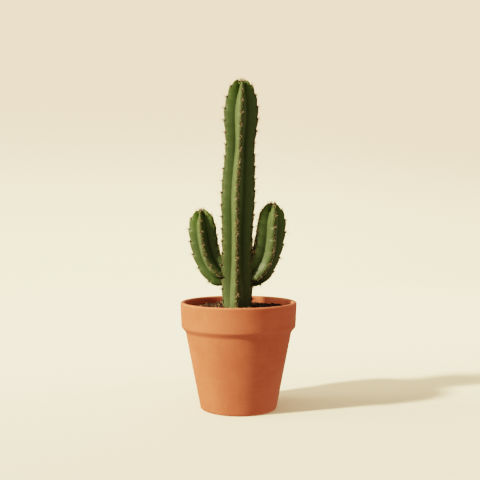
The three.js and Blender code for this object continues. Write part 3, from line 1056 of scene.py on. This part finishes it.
class PotOutline:
    """The pot's outline: a tapering body with a thick collar, and a straight inner wall."""

    def __init__(self, pot):
        self.pot = pot
        self.collar_low = pot.lip_radius - pot.collar_taper
        self.body_top_radius = self.collar_low - pot.collar_step
        self.body_top = pot.height - pot.collar_height - pot.collar_slope

    def inner_radius(self, height):
        """Radius of the inner wall: a straight taper from the lip to the floor."""
        pot = self.pot
        outside = blend(pot.base_radius, self.body_top_radius, pot.floor / self.body_top)
        foot, lip = outside - pot.body_wall, pot.lip_radius - pot.lip_wall
        return blend(foot, lip, (height - pot.floor) / (pot.height - pot.floor))

    def points(self):
        """The closed outline, from the drainage hole out, up, over the lip and back down."""
        pot = self.pot
        corners = [
            (pot.drain_radius, 0, 0),
            (pot.base_radius, 0, pot.base_rounding),
            (self.body_top_radius, self.body_top, pot.edge_rounding),
            (self.collar_low, self.body_top + pot.collar_slope, pot.edge_rounding),
            (pot.lip_radius, pot.height, pot.lip_rounding),
            (self.inner_radius(pot.height), pot.height, pot.lip_rounding),
            (self.inner_radius(pot.floor), pot.floor, pot.floor_rounding),
            (pot.drain_radius, pot.floor, 0),
        ]
        return with_steps(rounded_outline(corners), POT_STEP)


def soil_height(cactus, radius):
    """Height of the smooth soil: it rises from the wall in, as a cosine, to the stem."""
    line = soil_line(cactus)
    wall = PotOutline(cactus.pot).inner_radius(line)
    return line + cactus.soil.rise * (0.5 + 0.5 * np.cos(math.pi * np.clip(radius / wall, 0, 1)))


def soil_top(cactus, x, y):
    """Height of the lumpy soil: the smooth soil plus two sizes of unevenness."""
    lumps = cactus.soil.lumps
    coarse = wave_noise(x, y, 0, 41, 11 * MM, 6)
    fine = wave_noise(x, y, 0, 42, 3.5 * MM, 8)
    return soil_height(cactus, np.hypot(x, y)) + lumps * (0.55 * coarse + 0.35 * fine)


def soil_places(cactus, rng, copies, stem_gap, wall_gap, near_stem):
    """Random places on the soil, even over its area between the stem and the wall. A share of them
    gathers near the stem instead."""
    inner = cactus.stem.radius * 0.8 + stem_gap
    outer = PotOutline(cactus.pot).inner_radius(soil_line(cactus)) - wall_gap
    spread_out = np.sqrt(blend(inner**2, outer**2, rng.random(copies)))
    gathered = inner + np.abs(rng.normal(0, 7 * MM, copies))
    radius = np.where(rng.random(copies) < near_stem, gathered, spread_out)
    angle = rng.uniform(0, 2 * math.pi, copies)
    x, y = radius * np.cos(angle), radius * np.sin(angle)
    return np.column_stack([x, y, soil_top(cactus, x, y)])


# ---- Operators -----------------------------------------------------------------------------------


class CACTUS_OT_pot(bpy.types.Operator):
    """Make the terracotta pot"""

    bl_idname = "cactus.pot"
    bl_label = "Terracotta pot"

    def execute(self, context):
        """The outline turned about Z. Its radius strays from round by a few soft waves, which fade
        out at the foot."""
        pot, columns = context.scene.cactus.pot, POT_COLUMNS
        outline = PotOutline(pot).points()
        rows = len(outline)
        angle = np.linspace(0, 2 * math.pi, columns, endpoint=False)[None, :]
        radius, height = outline[:, :1], outline[:, 1:]
        stray = wave_noise(
            np.cos(angle) * 0.06, np.sin(angle) * 0.06, height + 0 * angle, 3, 70 * MM)
        radius = radius + pot.unevenness * stray * ease(height, 2 * MM, 20 * MM)
        points = np.stack(
            [radius * np.cos(angle), radius * np.sin(angle), height + 0 * radius], axis=-1)
        seam = np.arange(columns)
        after = np.roll(seam, -1)
        last = (rows - 1) * columns
        closing = np.stack([last + seam, last + after, after, seam], axis=-1)
        faces = [grid_faces(rows, columns), closing]
        bend = self.bending(outline)
        inner = PotOutline(pot).inner_radius(outline[:, 1]) + 0.5 * pot.lip_wall
        inside = (outline[:, 0] < inner) * ease(pot.height - outline[:, 1], 0.5 * MM, 9 * MM)
        marks = {"edge": np.repeat(bend, columns), "inside": np.repeat(inside, columns)}
        piece = make_piece("pot", points, faces, terracotta(pot), marks)
        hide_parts("terracotta_pot")
        return {"FINISHED"}

    @staticmethod
    def bending(outline):
        """How strongly the outline bends outwards at each point, from 0 to 1: the turn between its
        two neighbouring steps, over the length of those steps."""
        before = outline - np.roll(outline, 1, axis=0)
        after = np.roll(outline, -1, axis=0) - outline
        turned = before[:, 0] * after[:, 1] - before[:, 1] * after[:, 0]
        lengths = np.linalg.norm(before, axis=1) * np.linalg.norm(after, axis=1)
        per_length = turned / lengths / (0.5 * np.linalg.norm(before + after, axis=1))
        return ease(per_length, 100, 700)


class CACTUS_OT_soil(bpy.types.Operator):
    """Make the soil"""

    bl_idname = "cactus.soil"
    bl_label = "Potting soil"

    def execute(self, context):
        """One closed skin in four stretches: up the stem's foot at the clearance, out over the
        lumpy top to the wall, down the wall, and back over the floor to the axis."""
        cactus = context.scene.cactus
        soil, outline = cactus.soil, PotOutline(cactus.pot)
        stem = all_stems(cactus)["main_stem"]
        line = soil_line(cactus)
        angle = column_angles()[None, :]
        between = angle + np.diff(angle, append=angle[:, :1] + 2 * math.pi) / 2
        angle = np.sort(np.concatenate([angle, between], axis=1))
        middle = stem.axis.points[0]
        share_top = stem.share_at(soil_height(cactus, stem.shape.radius) - middle[2])
        part = np.linspace(0.01, 1, SOCKET_ROWS)[:, None] * share_top
        socket = stem.surface(part, angle, soil.clearance)
        rim = socket[-1]
        slack = 1.1 * soil.clearance
        heading = unit(rim[:, :2] - middle[:2])
        edge = heading * (outline.inner_radius(line) - slack)
        out = np.linspace(0, 1, SOIL_TOP_ROWS)[1:, None, None]
        flat = rim[None, :, :2] + out * (edge - rim[:, :2])[None]
        height = soil_top(cactus, flat[..., 0], flat[..., 1])
        height = blend(rim[None, :, 2], height, ease(out[..., 0], 0, 0.12))
        top = np.concatenate([flat, height[..., None]], axis=-1)
        floor = cactus.pot.floor + soil.clearance
        falls = np.linspace(line - 2 * MM, floor + cactus.pot.floor_rounding, SOIL_WALL_ROWS)
        sides = [(outline.inner_radius(z) - slack, z) for z in falls]
        low = outline.inner_radius(floor) - slack
        under = [(low - 0.5 * MM, floor + 1.2 * MM), (low - 4 * MM, floor), (low / 2, floor)]
        lower = [
            np.column_stack([heading * r, np.full(len(heading), z)]) for r, z in sides + under
        ]
        rings = np.concatenate([socket, top, np.array(lower)])
        rows, columns = rings.shape[:2]
        socket_pole = stem.pole(-soil.clearance)
        points = np.vstack([socket_pole, rings.reshape(-1, 3), [[0, 0, floor]]])
        faces = [part[:, ::-1] for part in skin_faces(rows, columns)]
        piece = make_piece("soil_bed", points, faces, fine_soil(soil))
        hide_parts("potting_soil")
        return {"FINISHED"}


class CACTUS_OT_grains(bpy.types.Operator):
    """Scatter crumbs, grit and chips on the soil"""

    bl_idname = "cactus.grains"
    bl_label = "Crumbs and grit"

    def execute(self, context):
        """Each kind is a seeded scatter of uneven lumps, sunk a little into the soil."""
        cactus = context.scene.cactus
        soil, crumb = cactus.soil, cactus.soil.crumb
        brown = grains("soil_crumbs", soil.dark, soil.brown, 0.7 * MM)
        pale = grains("grit", soil.brown, soil.pale, 0.9 * MM)
        bark = grains("soil_chips", soil.brown, soil.rosy, 1.2 * MM)
        # Name, slot, material, seed, number, spread of the sizes, middling radius, flatness, and
        # the share that gathers near the stem.
        for kind in (
            ("soil_crumbs", "soil", brown, 101, soil.crumbs, 0.45, crumb, 0.7, 0.0),
            ("soil_grit", "grit", pale, 102, soil.grit, 0.4, 0.66 * crumb, 0.8, 0.4),
            ("soil_chips", "soil", bark, 103, soil.chips, 0.3, 1.7 * crumb, 0.35, 0.0),
        ):
            self.scatter(cactus, *kind)
        return {"FINISHED"}

    @staticmethod
    def scatter(
        cactus, name, slot, material, seed, copies, spread_of_size, middling, flatness, near_stem,
    ):
        """Lumps at random places. Their radii have a spread about the middling one, and those to
        the right of the stem are darker, which is painted shade."""
        rng = np.random.default_rng(seed)
        radius = middling * np.exp(rng.normal(0, spread_of_size, copies)).clip(0.35, 2.3)
        place = soil_places(cactus, rng, copies, 0.5 * MM, 1.4 * MM + middling, near_stem)
        place[:, 2] += radius * rng.uniform(-0.15, 0.55, copies) * flatness
        points = lump_points(rng, place, radius, np.full(copies, flatness))
        _, faces = lump_shape()
        # Painted shade: the tones of the lumps darken to the right of the stem.
        painted_shade_factor = blend(1.0, 0.1, ease(place[:, 0], 0, 16 * MM))
        tone = np.repeat(rng.random(copies) * painted_shade_factor, points.shape[1])
        faces = [repeated_faces(faces, points.shape[1], copies)]
        make_piece(name, points, faces, material, {"tone": tone}, smooth=False)


class CACTUS_OT_stems(bpy.types.Operator):
    """Make the main stem and the two arms"""

    bl_idname = "cactus.stems"
    bl_label = "Ribbed stems"

    def execute(self, context):
        """Each stem is its ribbed surface on a grid. The arms start inside the main stem."""
        cactus = context.scene.cactus
        hide = cactus_skin(cactus.skin)
        stems = all_stems(cactus)
        side = cactus.skin.painted_light_side
        # Direction that the painted light on the skin comes from.
        painted_light_toward = unit(np.array([math.sin(side), -math.cos(side), 0.15]))
        makings = (
            ("stem_skin", "main_stem", SKIN_START, STEM_ROWS),
            ("left_arm_skin", "left_arm", cactus.left.inside, LEFT_ROWS),
            ("right_arm_skin", "right_arm", cactus.right.inside, RIGHT_ROWS),
        )
        for name, node, start, rows in makings:
            make_stem(name, node, stems[node], start, rows, hide, painted_light_toward)
        return {"FINISHED"}


class CACTUS_OT_areoles(bpy.types.Operator):
    """Make the felt cushions of the areoles"""

    bl_idname = "cactus.areoles"
    bl_label = "Areole felt"

    def execute(self, context):
        """Oval cushions on the ridges, smaller towards the tips, with the tone of their age."""
        cactus = context.scene.cactus
        place, out, up, across, from_end, luck = areole_frames(cactus)
        growth = ease(from_end, 0, 30 * MM)
        length = cactus.spines.felt * blend(0.6, 1, growth) * blend(0.8, 1.15, luck)
        local = cushion_points(length, 0.72 * length, 0.6 * length)
        points = placed(local, place, out, up, across)
        fresh = np.exp(-from_end / (12 * MM)) + (luck > 0.93) * 0.8
        tone = np.repeat(np.clip(fresh, 0, 1), points.shape[1])
        faces = cushion_faces(len(place))
        make_piece("areole_felt", points, faces, felt(cactus.spines), {"tone": tone})
        return {"FINISHED"}


class CACTUS_OT_spines(bpy.types.Operator):
    """Make the spines of the areoles"""

    bl_idname = "cactus.spines"
    bl_label = "Spines"

    def execute(self, context):
        """Every areole has outer spines that lie in a star and inner ones that stand out of it, and
        short bristles stand between them."""
        cactus = context.scene.cactus
        spines, frames = cactus.spines, areole_frames(cactus)
        rng = np.random.default_rng(61)
        kinds = (
            self.star(rng, frames, spines.radials, RADIAL_LEAN, spines.radial),
            self.star(rng, frames, spines.centrals, CENTRAL_LEAN, spines.central),
            self.stubble(rng, cactus),
        )
        base, direction, length, radius, pale = (np.concatenate(kind) for kind in zip(*kinds))
        points = spine_points(base, direction, length, radius * spines.thickness)
        make_needles("spines", points, pale, spines)
        return {"FINISHED"}

    @staticmethod
    def stubble(rng, cactus):
        """Short bristles scattered close to the crests of all stems, closer together the older the
        ridge is. They are given as the spines of a star are."""
        found = []
        lowest = soil_line(cactus) + cactus.soil.rise
        for stem in all_stems(cactus).values():
            here = int(cactus.spines.bristles * stem.outline_length / BRISTLE_STRETCH)
            from_end = stem.outline_length * rng.power(1.6, here)
            rib = rng.integers(0, RIBS, here)
            part = np.clip(1 - from_end / stem.outline_length, 0.06, 0.985)
            angle = (rib + rng.normal(0, 0.055, here)) * RIB_ANGLE
            place = stem.surface(part, angle)
            keep = place[:, 2] > lowest
            found.append(
                np.stack([place, *stem.directions(part, angle, 0.003, 0.02)])[:, keep])
        place, out, up, across = np.concatenate(found, axis=1)
        here = len(place)
        lean = np.radians(rng.uniform(15, 75, here))
        direction = spread(out, up, across, lean, rng.uniform(0, 2 * math.pi, here))
        length = cactus.spines.bristle * rng.uniform(0.5, 1.3, here)
        return place, direction, length, rng.uniform(0.4, 0.75, here), rng.random(here)

    @staticmethod
    def star(rng, frames, each, lean_range, middling):
        """Spines of one kind: bases, directions, lengths, relative thicknesses and how pale they
        are. They are spread round the areole with some play, and shorter near the growing point."""
        place, out, up, across, from_end, _ = (np.repeat(part, each, axis=0) for part in frames)
        copies = len(place)
        number = np.tile(np.arange(each), copies // each)
        around = 2 * math.pi * (number + rng.uniform(-0.3, 0.3, copies)) / each + rng.uniform(0, 1)
        lean = np.radians(rng.uniform(*lean_range, copies))
        direction = spread(out, up, across, lean, around)
        grown = blend(0.55, 1, ease(from_end, 0, 14 * MM))
        length = middling * grown * rng.uniform(0.7, 1.25, copies)
        keep = rng.random(copies) < UNBROKEN
        base = place + out * 0.25 * MM
        thick, pale = rng.uniform(0.75, 1.2, copies), rng.random(copies) ** 2.2
        return base[keep], direction[keep], length[keep], thick[keep], pale[keep]


class CACTUS_OT_tips(bpy.types.Operator):
    """Make the woolly tufts at the growing points"""

    bl_idname = "cactus.tips"
    bl_label = "Growing tips"

    def execute(self, context):
        """At each tip a ring of small cushions round a middle one, with young spines that stand up
        and lean outwards."""
        cactus = context.scene.cactus
        spines = cactus.spines
        rng = np.random.default_rng(71)
        tufts = [self.tuft(rng, stem, spines) for stem in all_stems(cactus).values()]
        cushions, needles = (np.concatenate(kind) for kind in zip(*tufts))
        tone = np.full(cushions.shape[:2], 0.9)
        make_piece(
            "tip_felt", cushions, cushion_faces(len(cushions)), felt(spines),
            {"tone": tone})
        make_needles("tip_spines", needles, 0.4 * rng.random(len(needles)), spines)
        return {"FINISHED"}

    @staticmethod
    def tuft(rng, stem, spines):
        """Cushions and needles of one tip, in a ring whose radius is a share of the stem's."""
        place = stem.pole(stem.axis.length - stem.shape.crown_sink)
        growth, radius = stem.axis.directions[-1], stem.shape.radius
        copies, many = spines.tip_cushions, spines.tip_spines
        around = np.linspace(0, 2 * math.pi, copies) + rng.uniform(-0.2, 0.2, copies)
        ring = radius * np.where(np.arange(copies) == 0, 0.0, rng.uniform(0.05, 0.13, copies))
        side = unit(np.cross(growth, [0.0, 1.0, 0.0]))
        other = np.cross(growth, side)
        away = np.cos(around)[:, None] * side + np.sin(around)[:, None] * other
        spot = place + ring[:, None] * away + growth * (0.7 * MM)
        size_each = rng.uniform(0.7, 1.05, copies) * MM
        up, across = away, np.cross(away, growth)
        out = np.broadcast_to(growth, away.shape)
        cushions = placed(
            cushion_points(size_each, size_each, 1.2 * size_each), spot, out, up, across)
        around = rng.uniform(0, 2 * math.pi, many)
        away = np.cos(around)[:, None] * side + np.sin(around)[:, None] * other
        lean = rng.uniform(0.05, 0.75, many)
        direction = unit(growth + lean[:, None] * away)
        base = place + away * (radius * rng.uniform(0.02, 0.16, many))[:, None] + growth * MM
        length = rng.uniform(3.0, 6.0, many) * MM
        thick = rng.uniform(0.13, 0.19, many) * MM
        return cushions, spine_points(base, direction, length, thick)


class CACTUS_OT_stage(bpy.types.Operator):
    """Make the floor and backdrop, the lights and the camera"""

    bl_idname = "cactus.stage"
    bl_label = "Stage"

    def execute(self, context):
        """A round floor that curves up into a wall, a sun, a soft side light, an even fill and the
        camera."""
        stage = context.scene.cactus.stage
        self.backdrop(stage)
        self.light(context, stage)
        self.camera(context, stage)
        return {"FINISHED"}

    @staticmethod
    def backdrop(stage):
        """A bowl: a flat disc, a quarter round and an upright wall, all turned about Z."""
        bend = 0.6 * stage.wall
        turn_up = np.linspace(0, math.pi / 2, 24)
        flat = np.linspace(0.05, 1, 12)[:-1] * (stage.radius - bend)
        radius = np.concatenate(
            [flat, stage.radius - bend + bend * np.sin(turn_up), [stage.radius]])
        height = np.concatenate([0 * flat, bend - bend * np.cos(turn_up), [stage.wall]])
        angle = np.linspace(0, 2 * math.pi, 96, endpoint=False)
        rings = np.stack([
            radius[:, None] * np.cos(angle), radius[:, None] * np.sin(angle),
            height[:, None] + 0 * angle], axis=-1)
        columns, rows = len(angle), len(radius)
        points = np.vstack([[[0, 0, 0]], rings.reshape(-1, 3)])
        faces = [
            grid_faces(rows, columns, 1)[:, ::-1], pole_faces(np.arange(1, columns + 1), 0, True),
        ]
        mesh = bpy.data.meshes.new("backdrop")
        mesh.from_pydata(points.tolist(), [], [face for part in faces for face in part.tolist()])
        mesh.polygons.foreach_set("use_smooth", [True] * len(mesh.polygons))
        mesh.materials.append(backdrop_paper(stage))
        floor = bpy.data.objects.new("backdrop", mesh)
        bpy.context.scene.collection.objects.link(floor)
        floor.visible_shadow = floor.visible_diffuse = floor.visible_glossy = False

    def light(self, context, stage):
        """A world of one soft colour, a sun from the left and a broad soft light beside it."""
        world = bpy.data.worlds.new("fill")
        world.use_nodes = True
        background = world.node_tree.nodes["Background"]
        background.inputs["Color"].default_value = stage.sky
        background.inputs["Strength"].default_value = stage.fill
        context.scene.world = world
        for name, strength, heading, height, width in (
            ("sun", stage.sun, stage.sun_heading, stage.sun_height, stage.sun_width),
            ("side_light", stage.side, 0.0, stage.side_height, stage.side_width),
        ):
            self.lamp(context, stage.warmth, name, strength, heading, height, width)

    @staticmethod
    def lamp(context, warmth, name, strength, heading, height, width):
        """A far light that shines along its heading over the floor and down by its height."""
        light = bpy.data.lights.new(name, "SUN")
        light.energy, light.angle, light.color = strength, width, warmth[:3]
        lamp = bpy.data.objects.new(name, light)
        lamp.rotation_euler = (math.pi / 2 - height, 0, heading - math.pi / 2)
        context.scene.collection.objects.link(lamp)

    @staticmethod
    def camera(context, stage):
        """A camera in front of the pot that looks along +Y and a little down."""
        view = bpy.data.cameras.new("camera")
        view.sensor_width = 36
        view.lens = stage.lens / MM
        view.clip_start = 0.01
        camera = bpy.data.objects.new("camera", view)
        camera.location = (stage.eye_side, -stage.distance, stage.eye_height)
        camera.rotation_euler = (math.pi / 2 - stage.pitch, 0, 0)
        context.scene.collection.objects.link(camera)
        context.scene.camera = camera
        context.scene.view_settings.view_transform = "Filmic"
        context.scene.view_settings.look = "High Contrast"


OPERATORS = (
    CACTUS_OT_pot, CACTUS_OT_soil, CACTUS_OT_grains, CACTUS_OT_stems, CACTUS_OT_areoles,
    CACTUS_OT_spines, CACTUS_OT_tips, CACTUS_OT_stage,
)


class CACTUS_PT_panel(bpy.types.Panel):
    """Lists the pieces and their settings"""

    bl_idname = "CACTUS_PT_panel"
    bl_label = "Potted tall cactus"
    bl_space_type = "VIEW_3D"
    bl_region_type = "UI"
    bl_category = "Cactus"

    def draw(self, context):
        """One button for each operator, then every group of settings."""
        for operator in OPERATORS:
            self.layout.operator(operator.bl_idname)
        cactus = context.scene.cactus
        for group in ("pot", "soil", "stem", "left", "right", "skin", "spines", "stage"):
            box = self.layout.box()
            settings = getattr(cactus, group)
            for key in settings.bl_rna.properties.keys():
                if key not in {"rna_type", "name"}:
                    box.prop(settings, key)


CLASSES = (
    PotSettings, SoilSettings, MainStemSettings, LeftArmSettings, RightArmSettings, SkinSettings,
    SpineSettings, StageSettings, CactusSettings, *OPERATORS, CACTUS_PT_panel,
)


def register():
    """Registers the classes and the scene's settings."""
    for each in CLASSES:
        bpy.utils.register_class(each)
    bpy.types.Scene.cactus = bpy.props.PointerProperty(
        name="Cactus", description="Settings of the potted cactus", type=CactusSettings)


def unregister():
    """Takes the settings and the classes away again."""
    del bpy.types.Scene.cactus
    for each in reversed(CLASSES):
        bpy.utils.unregister_class(each)


def main():
    """Builds every piece and the stage."""
    register()
    bpy.ops.cactus.pot()
    bpy.ops.cactus.soil()
    bpy.ops.cactus.grains()
    bpy.ops.cactus.stems()
    bpy.ops.cactus.areoles()
    bpy.ops.cactus.spines()
    bpy.ops.cactus.tips()
    bpy.ops.cactus.stage()


if __name__ == "__main__":
    main()
